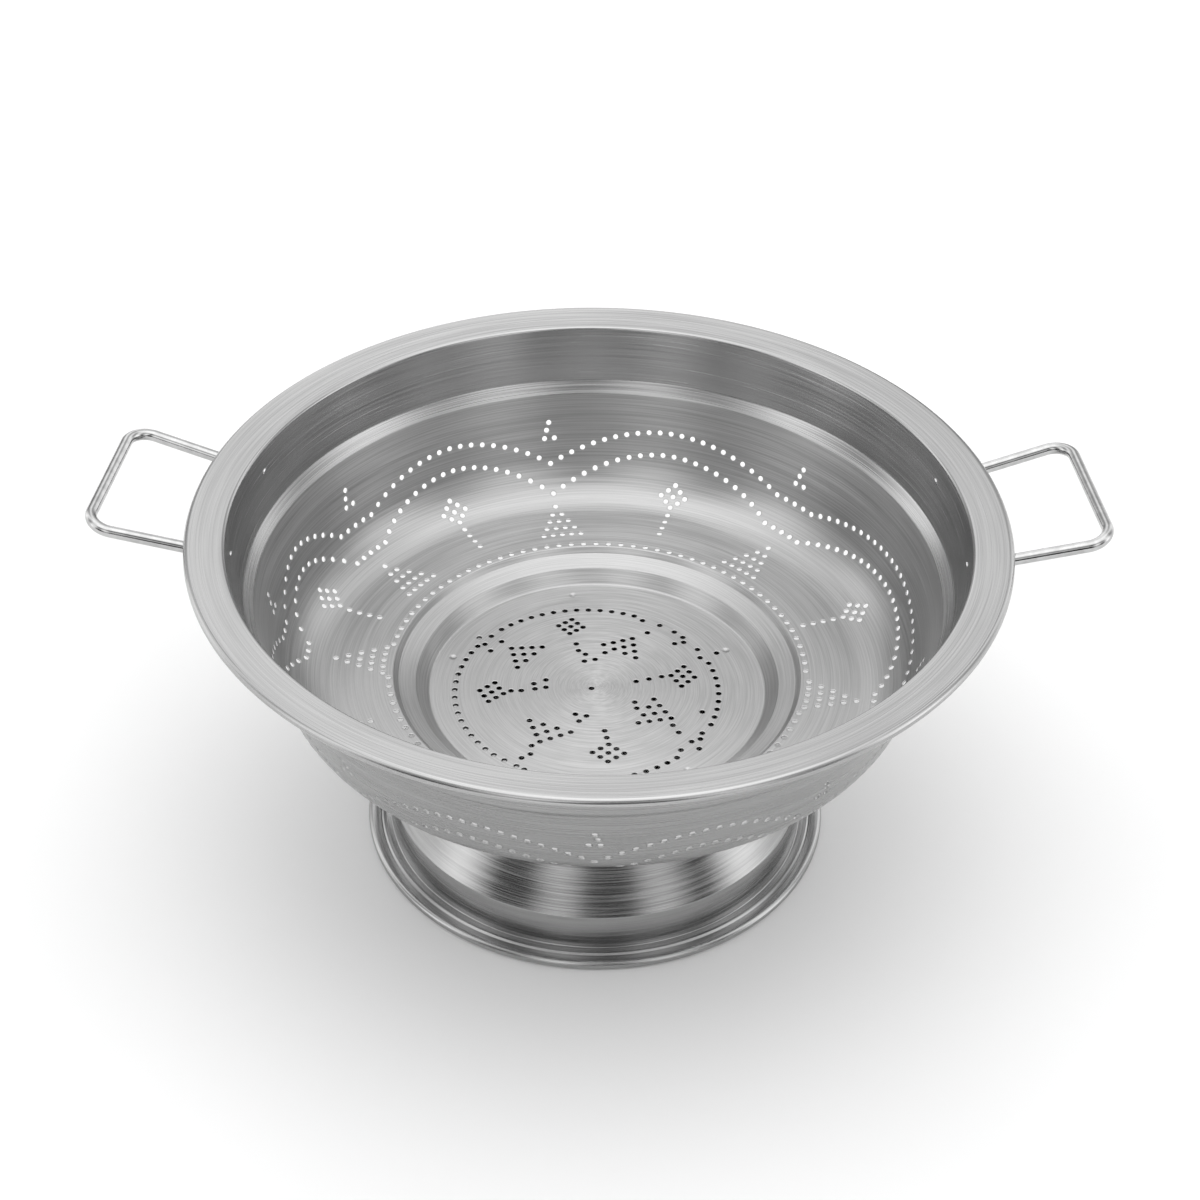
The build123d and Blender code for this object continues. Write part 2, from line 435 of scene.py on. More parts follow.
def spun(place, normal, angle):
    """A profile's place and normal turned about Z by an angle in radians."""
    cosine = math.cos(angle)
    sine = math.sin(angle)
    return (
        Vector((place.x * cosine, place.x * sine, place.y)),
        Vector((normal.x * cosine, normal.x * sine, normal.y)),
    )


def face_normal(first, second, third):
    """The unit normal of the face through three places."""
    return (second - first).cross(third - first).normalized()


class SheetMesh:
    """A thin sheet: an upper face given by corners and normals, and a lower one under it."""

    def __init__(self, thickness):
        self.thickness = thickness
        self.places = []
        self.normals = []
        self.faces = []
        self.holes = []

    def corner(self, place, normal):
        """Adds a corner of the upper face and returns its number."""
        self.places.append(place)
        self.normals.append(normal)
        return len(self.places) - 1

    def build(self, name, edges=()):
        """Makes the object, its lower face with the second material.

        edges are the rings of corners where the sheet ends.
        """
        count = len(self.places)
        under = [place - normal * self.thickness for place, normal in zip(self.places, self.normals)]
        faces = [tuple(face) for face in self.faces]
        faces += [tuple(index + count for index in reversed(face)) for face in self.faces]
        loop_normals = []
        for face in faces[:len(self.faces)]:
            loop_normals += [self.normals[index] for index in face]
        for face in faces[len(self.faces):]:
            loop_normals += [-self.normals[index - count] for index in face]
        places = self.places + under
        for ring in list(self.holes) + list(edges):
            for here, following in zip(ring, ring[1:] + ring[:1]):
                wall = (following, here, here + count, following + count)
                faces.append(wall)
                flat = face_normal(*(places[index] for index in wall[:3]))
                loop_normals += [flat] * len(wall)
        mesh = bpy.data.meshes.new(name)
        mesh.from_pydata(places, [], faces)
        mesh.shade_smooth()
        mesh.normals_split_custom_set(loop_normals)
        for polygon in mesh.polygons[len(self.faces):2 * len(self.faces)]:
            polygon.material_index = 1
        mesh.update()
        piece = bpy.data.objects.new(name, mesh)
        bpy.context.scene.collection.objects.link(piece)
        return piece


def even_angles(count):
    """Angles in radians that share a full turn evenly."""
    return [2 * math.pi * step / count for step in range(count)]


def revolve_rows(sheet, profile, first, last, angles, top=None):
    """Adds rows of quads between two points of a profile, and returns the end rings.

    top is a ring of corners that is there already, in the place of the first one.
    """
    rings = []
    for index in range(first, last + 1):
        if index == first and top is not None:
            rings.append(top)
            continue
        place = profile.points[index]
        normal = profile.normals[index]
        rings.append([sheet.corner(*spun(place, normal, angle)) for angle in angles])
    for upper, lower in zip(rings, rings[1:]):
        for here in range(len(angles)):
            following = (here + 1) % len(angles)
            sheet.faces.append((upper[here], upper[following], lower[following], lower[here]))
    return rings[0], rings[-1]


def hole_ring(radius):
    """The corners of a ring round a hole, as offsets along and across the sheet."""
    turn = 2 * math.pi / hole_corners
    return [
        (radius * math.cos(turn * step), radius * math.sin(turn * step))
        for step in range(hole_corners)
    ]


def outlined(holes):
    """Corners and edges of the two rings round each hole, and the holes of the inner ones."""
    corners = []
    edges = []
    owner = {}
    for number, (x, y, stretch) in enumerate(holes):
        for radius in (hole_radius, dimple_radius):
            ring = list(range(len(corners), len(corners) + hole_corners))
            for along, across in hole_ring(radius):
                corners.append(Vector((x + along, y + across * stretch)))
            edges += list(zip(ring, ring[1:] + ring[:1]))
            if radius == hole_radius:
                owner.update({index: number for index in ring})
    return corners, edges, owner


def near_by(cells, column, row, rows):
    """What lies in the cells round one, up to one column and a number of rows away."""
    return [
        entry
        for aside in range(-1, 2)
        for along in range(-rows, rows + 1)
        for entry in cells.get((column + aside, row + along), ())
    ]


def clear_points(points, holes, keep):
    """The fixed points, and the others that lie no nearer to a hole than keep."""
    cell = keep * 2
    cells = {}
    for x, y, stretch in holes:
        cells.setdefault((round(x / cell), round(y / cell)), []).append((x, y, stretch))
    kept = []
    for x, y, fixed in points:
        close = near_by(cells, round(x / cell), round(y / cell), 1)
        gaps = [math.hypot(x - hole[0], (y - hole[1]) / hole[2]) for hole in close]
        if fixed or min(gaps, default=keep) >= keep:
            kept.append(Vector((x, y)))
    return kept


def punched(points, holes, keep):
    """Triangles between scattered points that leave out round holes.

    points are (x, y, fixed) on a flat map, holes are (x, y, stretch) with stretch the
    map's scale across y, and keep says how near to a hole a point that isn't fixed may
    come. Gives the map's corners, the triangles and the rings of hole corners.
    """
    corners, edges, owner = outlined(holes)
    corners += clear_points(points, holes, keep)
    places, _, triangles, origins, _, _ = delaunay_2d_cdt(corners, edges, [], 0, join_gap)
    made = {source: index for index, sources in enumerate(origins) for source in sources}
    hole_of = [{owner[source] for source in sources if source in owner} for sources in origins]
    kept = []
    for first, second, third in triangles:
        if not hole_of[first] & hole_of[second] & hole_of[third]:
            kept.append((first, second, third))
    rings = []
    for number in range(len(holes)):
        start = number * 2 * hole_corners
        rings.append([made[start + step] for step in range(hole_corners)])
    return places, kept, rings


def wall_place(distance, angle, aside=0.0):
    """A place on the wall: distance down from the step, angle in radians, distance aside.

    angle is given in degrees, and distance as it is where the figures lie highest.
    """
    side = math.cos(math.radians(angle))
    drop = right_drop if side > 0 else left_drop
    return distance + drop * side ** drop_power, math.radians(angle), aside


def rows_of(counts, pitch, heading, spread):
    """Offsets of a figure's holes: rows that start along one side and run along the other."""
    first = Matrix.Rotation(math.radians(heading - spread / 2), 2) @ Vector((pitch, 0))
    second = Matrix.Rotation(math.radians(heading + spread / 2), 2) @ Vector((pitch, 0))
    return [first * row + second * hole for row, count in enumerate(counts) for hole in range(count)]


def arch(crest, cusp, left, right, radius):
    """The holes of one arch between two figures of the wall."""
    start, start_flat, start_lift, _ = left
    end, end_flat, end_lift, _ = right
    turn = (end - start) % 360
    count = round(radius * math.radians(turn) / arch_pitch)
    found = []
    for step in range(count):
        along = turn * step / count
        share = (along - start_flat) / (turn - start_flat - end_flat)
        sag = abs(2 * min(max(share, 0), 1) - 1) ** arch_power
        lift = start_lift if share < 1 / 2 else end_lift
        found.append(wall_place(crest + (cusp - lift - crest) * sag, start + along))
    return found


def triangle(top, angle):
    """A triangle of holes that stands under the arches, its point up."""
    found = []
    for row, count in enumerate(triangle_rows):
        for hole in range(count):
            aside = (hole - (count - 1) / 2) * triangle_spread
            found.append(wall_place(top + row * triangle_pitch, angle, aside))
    return found


def flower(angle):
    """A square head of holes on its corner with a stem below it."""
    head = rows_of(square_rows, flower_pitch, 0, flower_spread)
    found = [wall_place(flower_top + down, angle, aside) for down, aside in head]
    return found + [wall_place(distance, angle) for distance in flower_stem]


def wall_holes(profile, step_mark):
    """All the holes of the wall as (distance, angle, aside)."""
    found = []
    for index, left in enumerate(wall_figures):
        right = wall_figures[(index + 1) % len(wall_figures)]
        for crest, cusp in ((outer_crest, outer_cusp), (inner_crest, inner_cusp)):
            radius = profile.at(step_mark + crest)[0].x
            found += arch(crest, cusp, left, right, radius)
        angle, _, _, top = left
        found += triangle(top, angle)
        found += [wall_place(distance, angle, aside) for distance, aside in trefoil]
        found += flower(angle + (right[0] - angle) % 360 / 2)
    return found


def polar(radius, angle):
    """A place from a radius and an angle in degrees."""
    return Matrix.Rotation(math.radians(angle), 2) @ Vector((radius, 0))


def disc_holes():
    """All the holes of the disc as places on it."""
    found = [Vector((0, 0))]
    for counts, radius, angle, turn, spread, pitch in disc_figures:
        place = polar(radius, angle)
        found += [place + offset for offset in rows_of(counts, pitch, angle + turn + 180, spread)]
    for count, first_radius, first_angle, last_radius, last_angle in disc_runs:
        first = polar(first_radius, first_angle)
        last = polar(last_radius, last_angle)
        found += [first.lerp(last, hole / max(1, count - 1)) for hole in range(count)]
    for hole in range(disc_circle_holes):
        angle = 360 * hole / disc_circle_holes
        found.append(Vector(disc_circle_centre) + polar(disc_circle_radius, angle))
    return [Vector(disc_centre) + place for place in found]


def dished_in(point, normal, centre):
    """A corner of a hole drawn in by the punch: a little lower, its normal leaning to the hole."""
    inward = (centre - point).normalized()
    return point - normal * dimple_depth, (normal + inward * dimple_lean).normalized()


def flat_end(profile, height):
    """The number of the last point of the level floor, before the well."""
    level = [index for index, point in enumerate(profile.points) if abs(point.y - height) < tiny]
    return max(level)


def map_hole(profile, step_mark, distance, angle, aside):
    """A hole on the flat map of the wall: x down along the sheet, y around it, and the stretch."""
    mark = step_mark + distance
    radius = profile.at(mark)[0].x
    turn = (angle + aside / radius) % (2 * math.pi)
    return mark, wall_map_radius * turn, wall_map_radius / radius


def mapped_holes(profile, step_mark, floor_end):
    """All the holes of the wall, and the circle of holes round the well, on the flat map."""
    holes = [map_hole(profile, step_mark, *place) for place in wall_holes(profile, step_mark)]
    circle_mark = profile.marks[floor_end] - (floor_circle_radius - profile.points[floor_end].x)
    stretch = wall_map_radius / floor_circle_radius
    for hole in range(floor_circle_holes):
        holes.append((circle_mark, around_map * hole / floor_circle_holes, stretch))
    return holes


def bowl_piece():
    """The bowl: turned rows for the plain parts, scattered triangles where it is punched."""
    profile = Profile(smooth_line(bowl_line(), bowl_bends, row_step))
    line = bowl_line()
    step_mark = profile.marks[profile.nearest(line[step_corner])]
    floor_height = line[well_corner][1]
    disc_radius, disc_height = line[disc_corner]
    first_wall = profile.after(step_mark + plain_wall)
    last_wall = flat_end(profile, floor_height)
    first_disc = profile.nearest((disc_radius - plain_disc, disc_height))
    holes = mapped_holes(profile, step_mark, last_wall)
    seam = clear_seam(holes)
    holes = without_overlaps(
        [(x, (y - wall_map_radius * seam) % around_map, stretch) for x, y, stretch in holes]
    )
    angles = [seam + turn for turn in even_angles(turn_steps)]
    sheet = SheetMesh(bowl_sheet)
    top_ring, wall_top = revolve_rows(sheet, profile, 0, first_wall, angles)
    wall_bottom = punch_wall(sheet, profile, first_wall, last_wall, holes, seam, wall_top)
    _, disc_ring = revolve_rows(sheet, profile, last_wall, first_disc, angles, top=wall_bottom)
    punch_disc(sheet, profile.points[first_disc], seam, disc_ring)
    return sheet.build("perforated_bowl", edges=[top_ring])


def punch_wall(sheet, profile, first, last, holes, seam, wall_top):
    """Adds the punched part of the wall under a ring of corners, and returns its lower ring."""
    points = []
    for index in range(first, last + 1):
        for column in range(turn_steps + 1):
            fixed = index in (first, last) or column in (0, turn_steps)
            points.append((profile.marks[index], around_map * column / turn_steps, fixed))
    places, triangles, rings = punched(points, holes, dimple_radius + dimple_margin)
    dished = {index: number for number, ring in enumerate(rings) for index in ring}
    corner_of = {}
    seam_corners = {}
    wall_bottom = [None] * turn_steps
    for index, place in enumerate(places):
        column = place.y / around_map * turn_steps
        on_seam = column < seam_share or column > turn_steps - seam_share
        key = round(place.x / tiny)
        if abs(place.x - profile.marks[first]) < tiny:
            corner_of[index] = wall_top[round(column) % turn_steps]
            continue
        if on_seam and key in seam_corners:
            corner_of[index] = seam_corners[key]
            continue
        spot, normal = profile.at(place.x)
        point, facing = spun(spot, normal, seam + place.y / wall_map_radius)
        if index in dished:
            mark, across, _ = holes[dished[index]]
            centre = spun(profile.at(mark)[0], normal, seam + across / wall_map_radius)[0]
            point, facing = dished_in(point, facing, centre)
        corner_of[index] = sheet.corner(point, facing)
        if on_seam:
            seam_corners[key] = corner_of[index]
        if abs(place.x - profile.marks[last]) < tiny:
            wall_bottom[round(column) % turn_steps] = corner_of[index]
    for triangle_corners in triangles:
        sheet.faces.append(tuple(corner_of[index] for index in reversed(triangle_corners)))
    sheet.holes += [[corner_of[index] for index in ring] for ring in rings]
    return wall_bottom


def dented(point, normal):
    """A place of the disc and its normal, pressed in where a spot weld is."""
    for radius, angle in spot_welds:
        away = point.xy - Vector(disc_centre) - polar(radius, angle)
        rise = 1 - (away.length / dent_radius) ** 2
        if rise > 0:
            slope = away * (-4 * dent_depth * rise / dent_radius ** 2)
            low = point - normal * (dent_depth * rise ** 2)
            return low, Vector((slope.x, slope.y, 1)).normalized()
    return point, normal


def punch_disc(sheet, edge, seam, disc_ring):
    """Adds the punched disc inside a ring of corners."""
    points = []
    ring_count = round(edge.x / point_spacing)
    for ring in range(1, ring_count + 1):
        radius = edge.x * ring / ring_count
        outermost = ring == ring_count
        steps = turn_steps if outermost else round(2 * math.pi * radius / point_spacing)
        for column in range(steps):
            turn = seam + 2 * math.pi * column / steps
            points.append((radius * math.cos(turn), radius * math.sin(turn), outermost))
    for radius, angle in spot_welds:
        for ring in dent_rings:
            for step in range(dent_steps if ring else 1):
                away = polar(ring, 360 * step / dent_steps)
                place = Vector(disc_centre) + polar(radius, angle) + away
                points.append((place.x, place.y, True))
    holes = without_overlaps([(place.x, place.y, 1) for place in disc_holes()])
    places, triangles, rings = punched(points, holes, dimple_radius + dimple_margin)
    dished = {index: number for number, ring in enumerate(rings) for index in ring}
    corner_of = {}
    for index, place in enumerate(places):
        if place.length > edge.x - tiny:
            turn = (math.atan2(place.y, place.x) - seam) % (2 * math.pi)
            corner_of[index] = disc_ring[round(turn / (2 * math.pi) * turn_steps) % turn_steps]
            continue
        point, facing = dented(Vector((place.x, place.y, edge.y)), Vector((0, 0, 1)))
        if index in dished:
            across, along, _ = holes[dished[index]]
            point, facing = dished_in(point, facing, Vector((across, along, edge.y)))
        corner_of[index] = sheet.corner(point, facing)
    for triangle_corners in triangles:
        sheet.faces.append(tuple(corner_of[index] for index in triangle_corners))
    sheet.holes += [[corner_of[index] for index in reversed(ring)] for ring in rings]


def without_overlaps(holes):
    """Leaves out each hole that would run into one before it."""
    kept = []
    cells = {}
    reach = 2 * dimple_radius + hole_spacing
    for x, y, stretch in holes:
        column = round(x / cell_size)
        row = round(y / cell_size)
        close = near_by(cells, column, row, cell_rows)
        if any(math.hypot(x - hole[0], (y - hole[1]) / stretch) < reach for hole in close):
            continue
        cells.setdefault((column, row), []).append((x, y))
        kept.append((x, y, stretch))
    return kept


def clear_seam(holes):
    """The angle at which a cut down the wall passes farthest from every hole."""
    best = (0.0, 0.0)
    half = around_map / 2
    for number in range(seam_tries):
        cut = around_map * number / seam_tries
        gap = min(abs((y - cut + half) % around_map - half) / stretch for _, y, stretch in holes)
        best = max(best, (gap, cut / wall_map_radius))
    return best[1]


def foot_line():
    """Outer face of the foot sheet, from the curled bead up to the seat under the disc."""
    disc_radius, disc_height = bowl_line()[disc_corner]
    foot_top = disc_height - bowl_sheet
    neck_radius = disc_radius - foot_neck_inset
    waist_radius = neck_radius + foot_neck_flare
    band_radius = waist_radius + foot_waist_flare
    band_foot = band_radius + foot_band_taper
    rib_start = band_foot + rib_inset
    bead_edge = band_radius + bead_reach
    bead_inside = bead_edge - bead_width
    return [
        (bead_inside, 0),
        (bead_edge, 0),
        (bead_edge, bead_height),
        (bead_inside, bead_height),
        (bead_inside, foot_flange_height),
        (rib_start + rib_width, foot_flange_height),
        (rib_start + rib_width / 2, foot_flange_height + rib_height),
        (rib_start, foot_flange_height),
        (band_foot, foot_flange_height),
        (band_radius, foot_flange_height + foot_band_height),
        (waist_radius, foot_top - foot_waist_depth),
        (neck_radius, foot_top),
        (neck_radius - foot_seat_width, foot_top),
    ]


# Corners of the foot's line by their number, and the bend at each
foot_bends = {
    1: bead_bend,
    2: bead_bend,
    5: rib_bend,
    6: rib_bend,
    7: rib_bend,
    8: rib_bend,
    9: crease_bend,
    10: foot_flare_bend,
    11: neck_bend,
}


def foot_piece():
    """The pedestal foot as one turned sheet."""
    profile = Profile(smooth_line(foot_line(), foot_bends, row_step))
    sheet = SheetMesh(foot_sheet)
    first, last = revolve_rows(sheet, profile, 0, len(profile.points) - 1, even_angles(turn_steps))
    return sheet.build("pedestal_foot", edges=[first, list(reversed(last))])


def leg_ends(side):
    """Centre of one handle leg, under the flange and at the corner, before the handle is turned."""
    low = rim_height - curl_height - rim_gap - wire_radius
    slope = handle_rise / handle_reach
    out = rim_radius + handle_reach - wire_radius
    inside = rim_radius - flange_width - collar_taper
    splay = handle_splay / 2 / handle_reach
    outer = Vector((out, side * handle_spread / 2, low + slope * (out - rim_radius)))
    width = side * (handle_spread / 2 - splay * (out - inside))
    inner = Vector((inside, width, low - slope * (rim_radius - inside)))
    return inner, outer


def collar_face(height):
    """Radius of the collar's outer face at a height."""
    lip_height = rim_height - flange_fall
    outside = bowl_sheet / math.cos(math.atan(collar_taper / collar_depth))
    return rim_radius - flange_width + outside - collar_taper * (lip_height - height) / collar_depth


def meet_collar(point, along):
    """Where a line meets the collar's outer face, from a point near it."""
    place = point.copy()
    for _ in range(collar_tries):
        place += along * (collar_face(place.z) - math.hypot(place.x, place.y)) / along.x
    return place


def rounded_path(corners, radius):
    """A path in space with its corners rounded."""
    points = [corners[0]]
    for before, place, after in zip(corners, corners[1:], corners[2:]):
        centre, start, end = bend(before, place, after, radius)
        axis = start.cross(end).normalized()
        sweep = start.angle(end)
        for step in range(corner_steps + 1):
            points.append(centre + Matrix.Rotation(sweep * step / corner_steps, 3, axis) @ start)
    points.append(corners[-1])
    return points


def quad_rows(rows, around):
    """Quads between rings of corners that follow each other."""
    faces = []
    for row in range(rows):
        for step in range(around):
            here = row * around + step
            beside = row * around + (step + 1) % around
            faces.append((here, beside, beside + around, here + around))
    return faces


def tube(name, points, radius, around):
    """A round wire along a path, with flat ends."""
    places = []
    normal = (points[1] - points[0]).cross(Vector((0, 0, 1))).normalized()
    for index, point in enumerate(points):
        along = (points[min(index + 1, len(points) - 1)] - points[max(index - 1, 0)]).normalized()
        normal = (normal - along * normal.dot(along)).normalized()
        binormal = along.cross(normal)
        for step in range(around):
            turn = 2 * math.pi * step / around
            places.append(point + (normal * math.cos(turn) + binormal * math.sin(turn)) * radius)
    faces = quad_rows(len(points) - 1, around)
    faces.append(tuple(reversed(range(around))))
    faces.append(tuple(range(len(places) - around, len(places))))
    return mesh_object(name, places, faces)


def mesh_object(name, places, faces):
    """A piece with smooth faces and sharp edges where it turns by more than a set angle."""
    mesh = bpy.data.meshes.new(name)
    mesh.from_pydata(places, [], faces)
    mesh.shade_smooth()
    mesh.set_sharp_from_angle(angle=math.radians(sharp_angle))
    mesh.update()
    piece = bpy.data.objects.new(name, mesh)
    bpy.context.scene.collection.objects.link(piece)
    return piece


def handle_piece(name, sign):
    """One bent wire handle. sign is 1 for the right one and -1 for the left one."""
    corners = []
    for side in (1, -1):
        inner, outer = leg_ends(side)
        along = (outer - inner).normalized()
        start = meet_collar(inner, along) - along * leg_sink
        corners += [start, outer] if side == 1 else [outer, start]
    piece = tube(name, rounded_path(corners, handle_corner_radius), wire_radius, wire_sides)
    place_handle(piece, sign)
    return piece


def place_handle(piece, sign):
    """Turns a piece made for the right handle to its place, or mirrors it to the left."""
    turn = Matrix.Rotation(math.radians(handle_angle), 4, "Z")
    piece.data.transform(turn)
    if sign < 0:
        piece.data.transform(Matrix.Scale(-1, 4, (1, 0, 0)))
        piece.data.flip_normals()


def weld_piece(name, sign, side):
    """The hollow fillet of weld metal round one leg, from the collar out onto the wire."""
    inner, outer = leg_ends(side)
    along = (outer - inner).normalized()
    middle = meet_collar(inner, along)
    aside = along.cross(Vector((0, 0, 1))).normalized()
    upward = aside.cross(along)
    places = []
    for row in range(weld_rows + 1):
        share = row / weld_rows
        radius = wire_radius + weld_spread * (1 - share) ** 2 + weld_skin * (1 - share)
        for step in range(wire_sides):
            turn = 2 * math.pi * step / wire_sides
            swell = 1 + weld_wave_share * math.sin(turn * weld_waves + side) * (1 - share)
            spoke = (aside * math.cos(turn) + upward * math.sin(turn)) * radius * swell
            foot = meet_collar(middle + spoke, along)
            places.append(foot.lerp(middle + spoke + along * weld_reach, share))
    piece = mesh_object(name, places, quad_rows(weld_rows, wire_sides))
    place_handle(piece, sign)
    return piece


class Nodes:
    """A short way to write the nodes of a material or of the world."""

    def __init__(self, owner, shader):
        owner.use_nodes = True
        self.tree = owner.node_tree
        self.shader = self.tree.nodes[shader]

    def add(self, kind, **values):
        """Adds a node of a kind, with its own settings."""
        node = self.tree.nodes.new(kind)
        for name, value in values.items():
            setattr(node, name, value)
        return node

    def link(self, source, target):
        """Joins the output of a node to the input of another."""
        self.tree.links.new(source, target)

    def math(self, operation, first, second=0.0):
        """The result of a sum on two values, each a number or the output of a node."""
        node = self.add("ShaderNodeMath", operation=operation)
        for socket, value in zip(node.inputs, (first, second)):
            if isinstance(value, bpy.types.NodeSocket):
                self.link(value, socket)
            else:
                socket.default_value = value
        return node.outputs[0]

    def ramp(self, value, start, end, low, high):
        """Maps a value from start..end to low..high, smoothly and no further."""
        node = self.add("ShaderNodeMapRange", interpolation_type="SMOOTHSTEP")
        for socket, setting in zip(node.inputs[1:5], (start, end, low, high)):
            socket.default_value = setting
        self.link(value, node.inputs["Value"])
        return node.outputs["Result"]

    def spread(self, value, low, high):
        """Maps the usual values of a noise to a range."""
        return self.ramp(value, noise_low, noise_high, low, high)

    def turned_noise(self, fine, around):
        """Noise drawn out in circles round Z.

        fine is how many lines it has per metre across them, and around how often it
        changes along them.
        """
        place = self.add("ShaderNodeTexCoord").outputs["Object"]
        split = self.add("ShaderNodeSeparateXYZ")
        self.link(place, split.inputs[0])
        x, y, z = split.outputs
        squares = self.math("ADD", self.math("MULTIPLY", x, x), self.math("MULTIPLY", y, y))
        radius = self.math("MAXIMUM", self.math("SQRT", squares), brush_axis_gap)
        cosine = self.math("DIVIDE", x, radius)
        sine = self.math("DIVIDE", y, radius)
        joined = self.add("ShaderNodeCombineXYZ")
        self.link(self.math("MULTIPLY", radius, fine), joined.inputs[0])
        self.link(self.math("MULTIPLY", z, fine), joined.inputs[1])
        self.link(self.math("MULTIPLY", cosine, around), joined.inputs[2])
        noise = self.add("ShaderNodeTexNoise", noise_dimensions="4D")
        noise.inputs["Scale"].default_value = 1.0
        noise.inputs["Detail"].default_value = brush_detail
        self.link(joined.outputs[0], noise.inputs["Vector"])
        self.link(self.math("MULTIPLY", sine, around), noise.inputs["W"])
        return noise.outputs["Fac"]

    def cloud(self, scale):
        """Noise that is alike in every direction."""
        noise = self.add("ShaderNodeTexNoise")
        noise.inputs["Scale"].default_value = scale
        noise.inputs["Detail"].default_value = cloud_detail
        self.link(self.add("ShaderNodeTexCoord").outputs["Object"], noise.inputs["Vector"])
        return noise.outputs["Fac"]

    def tint(self, grey):
        """Gives the shader a neutral colour of a grey."""
        joined = self.add("ShaderNodeCombineColor")
        for socket in joined.inputs[:3]:
            self.link(grey, socket)
        self.link(joined.outputs[0], self.shader.inputs["Base Color"])

    def bump(self, value, depth, strength):
        """Gives the shader small unevenness of a depth."""
        node = self.add("ShaderNodeBump")
        node.inputs["Strength"].default_value = strength
        node.inputs["Distance"].default_value = depth
        self.link(value, node.inputs["Height"])
        self.link(node.outputs["Normal"], self.shader.inputs["Normal"])


def turned_steel(name, greys, roughness, satin=None):
    """Steel sheet brushed in circles, and where satin is given, lighter and duller low down."""
    material = bpy.data.materials.new(name)
    nodes = Nodes(material, "Principled BSDF")
    brush = nodes.turned_noise(brush_lines, brush_turns)
    patch = nodes.turned_noise(patch_lines, patch_turns)
    lines = nodes.math("MULTIPLY", brush, 1 - patch_share)
    patches = nodes.math("MULTIPLY", patch, patch_share)
    mixed = nodes.math("ADD", lines, patches)
    grey = nodes.spread(mixed, *greys)
    rough = nodes.spread(mixed, *roughness)
    if satin:
        height = nodes.add("ShaderNodeSeparateXYZ")
        nodes.link(nodes.add("ShaderNodeTexCoord").outputs["Object"], height.inputs[0])
        low, high, lighter, rougher = satin
        grey = nodes.math("ADD", grey, nodes.ramp(height.outputs[2], low, high, lighter, 0.0))
        rough = nodes.math("ADD", rough, nodes.ramp(height.outputs[2], low, high, rougher, 0.0))
    nodes.tint(grey)
    nodes.link(rough, nodes.shader.inputs["Roughness"])
    nodes.bump(brush, brush_depth, brush_strength)
    nodes.shader.inputs["Metallic"].default_value = 1.0
    nodes.shader.inputs["Anisotropic"].default_value = anisotropy_share
    nodes.shader.inputs["Anisotropic Rotation"].default_value = anisotropy_turn_share
    tangent = nodes.add("ShaderNodeTangent", direction_type="RADIAL", axis="Z")
    nodes.link(tangent.outputs[0], nodes.shader.inputs["Tangent"])
    return material


def uneven_steel(name, scale, greys, roughness, depth, strength):
    """Steel with the faint scuffs of a polished wire, or the lumps of weld metal."""
    material = bpy.data.materials.new(name)
    nodes = Nodes(material, "Principled BSDF")
    spots = nodes.cloud(scale)
    nodes.tint(nodes.spread(spots, *greys))
    nodes.link(nodes.spread(spots, *roughness), nodes.shader.inputs["Roughness"])
    nodes.bump(spots, depth, strength)
    nodes.shader.inputs["Metallic"].default_value = 1.0
    return material


def dress(piece, materials, node):
    """Gives a piece its materials and the solid that it stands for."""
    for material in materials:
        piece.data.materials.append(material)
    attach(piece, "root")
    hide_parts(node)


def make_object():
    """The eight pieces of the colander with their materials."""
    bowl_inside = turned_steel("bowl_inside_steel", bowl_greys, bowl_roughness, wall_satin)
    # The outside copy of the steel has painted shade in its darker greys, and the foot's inner face
    # gets it too
    bowl_outside_shaded = turned_steel("bowl_outside_shaded_steel", outside_shaded_greys, outside_roughness)
    foot_steel = turned_steel("foot_brushed_steel", foot_greys, foot_roughness)
    wire = uneven_steel("polished_wire", *wire_finish)
    weld = uneven_steel("weld_metal", *weld_finish)
    dress(bowl_piece(), (bowl_inside, bowl_outside_shaded), "bowl")
    dress(foot_piece(), (foot_steel, bowl_outside_shaded), "foot_ring")
    for name, sign in (("right", 1), ("left", -1)):
        dress(handle_piece(f"wire_handle_{name}", sign), (wire,), f"handle_{name}")
    for name, sign in (("right", 1), ("left", -1)):
        for place, side in (("far", 1), ("near", -1)):
            piece = weld_piece(f"weld_{name}_{place}", sign, side)
            dress(piece, (weld,), "handle_welds")


def make_floor():
    """A pale, matt floor under the object."""
    mesh = bpy.data.meshes.new("floor")
    signs = ((-1, -1), (1, -1), (1, 1), (-1, 1))
    places = [(floor_reach * across, floor_reach * away, 0) for across, away in signs]
    mesh.from_pydata(places, [], [(0, 1, 2, 3)])
    floor = bpy.data.objects.new("floor", mesh)
    bpy.context.scene.collection.objects.link(floor)
    material = bpy.data.materials.new("pale_floor")
    nodes = Nodes(material, "Principled BSDF")
    nodes.shader.inputs["Base Color"].default_value = (floor_grey, floor_grey, floor_grey, 1)
    nodes.shader.inputs["Roughness"].default_value = floor_roughness
    nodes.shader.inputs["Specular IOR Level"].default_value = 0.0
    mesh.materials.append(material)


def roof_and_sides(nodes, height, across):
    """The even light, brighter overhead, and low down also to the left and right."""
    middle = nodes.ramp(height, *middle_heights, low_light, middle_light)
    overhead = nodes.ramp(height, *overhead_heights, 0.0, overhead_light)
    roof = nodes.math("ADD", middle, overhead)
    sides = nodes.math("POWER", nodes.math("ABSOLUTE", across), side_power)
    sides = nodes.math("MULTIPLY", sides, nodes.ramp(height, *side_heights, side_light, 0.0))
    return nodes.math("ADD", roof, sides)


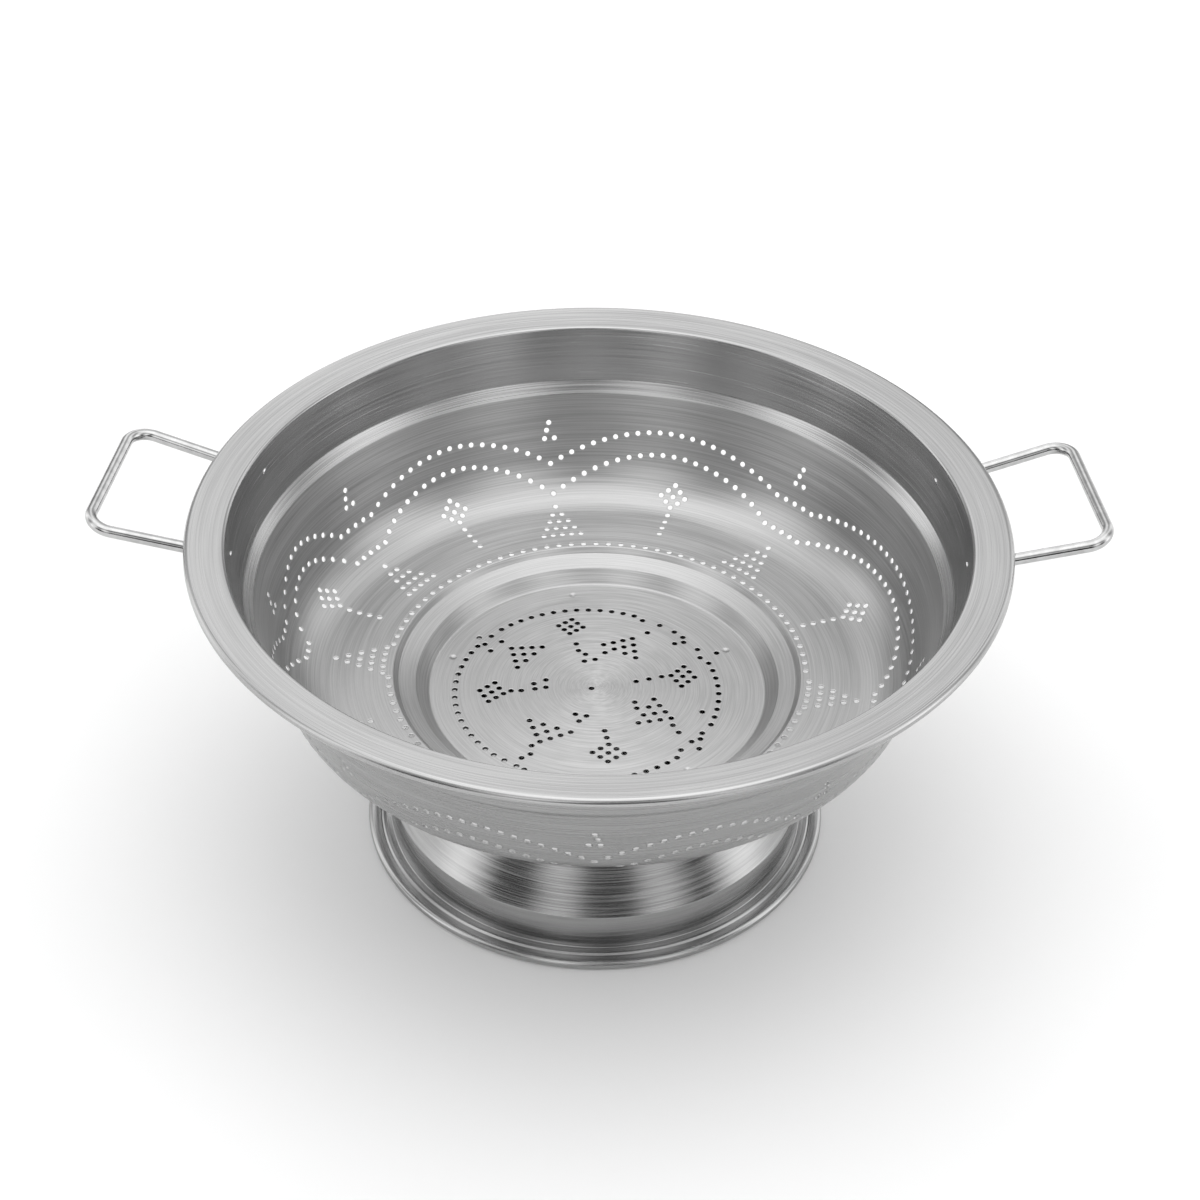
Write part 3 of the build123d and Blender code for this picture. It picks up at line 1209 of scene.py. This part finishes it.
def light_panels(nodes, height, across, away):
    """Light and dark panels that take turns round the object and fade out overhead."""
    turn = nodes.math("MULTIPLY", nodes.math("ARCTAN2", away, across), panel_count)
    panels = nodes.math("COSINE", nodes.math("ADD", turn, panel_turn))
    return nodes.math("MULTIPLY", panels, nodes.ramp(height, *panel_heights, panel_light, 0.0))


def camera_side_shade(nodes, height, away):
    """A negative light on the camera's side, low down and again high up."""
    start = nodes.ramp(height, *high_shade_start, 0.0, 1.0)
    end = nodes.ramp(height, *high_shade_end, 1.0, 0.0)
    high = nodes.math("MULTIPLY", start, end)
    heights = nodes.math("ADD", nodes.ramp(height, *low_shade_heights, 1.0, 0.0), high)
    return nodes.math("MULTIPLY", nodes.ramp(away, *shade_depths, -camera_shade, 0.0), heights)


def make_world():
    """A light tent round the object, brighter overhead and dimmer behind the camera."""
    world = bpy.data.worlds.new("studio")
    bpy.context.scene.world = world
    nodes = Nodes(world, "Background")
    nodes.shader.inputs["Color"].default_value = (1, 1, 1, 1)
    split = nodes.add("ShaderNodeSeparateXYZ")
    nodes.link(nodes.add("ShaderNodeTexCoord").outputs["Generated"], split.inputs[0])
    across, away, height = split.outputs
    light = roof_and_sides(nodes, height, across)
    panels = light_panels(nodes, height, across, away)
    shade = camera_side_shade(nodes, height, away)
    total = nodes.math("ADD", light, nodes.math("ADD", panels, shade))
    nodes.link(nodes.math("MAXIMUM", total, 0.0), nodes.shader.inputs["Strength"])


def make_camera():
    """The camera of the photograph, turned a little about its line of sight."""
    data = bpy.data.cameras.new("camera")
    data.sensor_width = sensor_width
    data.lens = focal_pixels / photo_size * sensor_width
    camera = bpy.data.objects.new("camera", data)
    forward = (Vector(camera_aim) - Vector(camera_place)).normalized()
    level = forward.cross(Vector((0, 0, 1))).normalized()
    upright = level.cross(forward)
    right = level * math.cos(camera_roll) + upright * math.sin(camera_roll)
    up = upright * math.cos(camera_roll) - level * math.sin(camera_roll)
    turned = Matrix((right, up, -forward)).transposed().to_4x4()
    camera.matrix_world = Matrix.Translation(camera_place) @ turned
    bpy.context.scene.collection.objects.link(camera)
    bpy.context.scene.camera = camera


make_object()
make_floor()
make_world()
make_camera()
bpy.context.scene.view_settings.view_transform = "Standard"
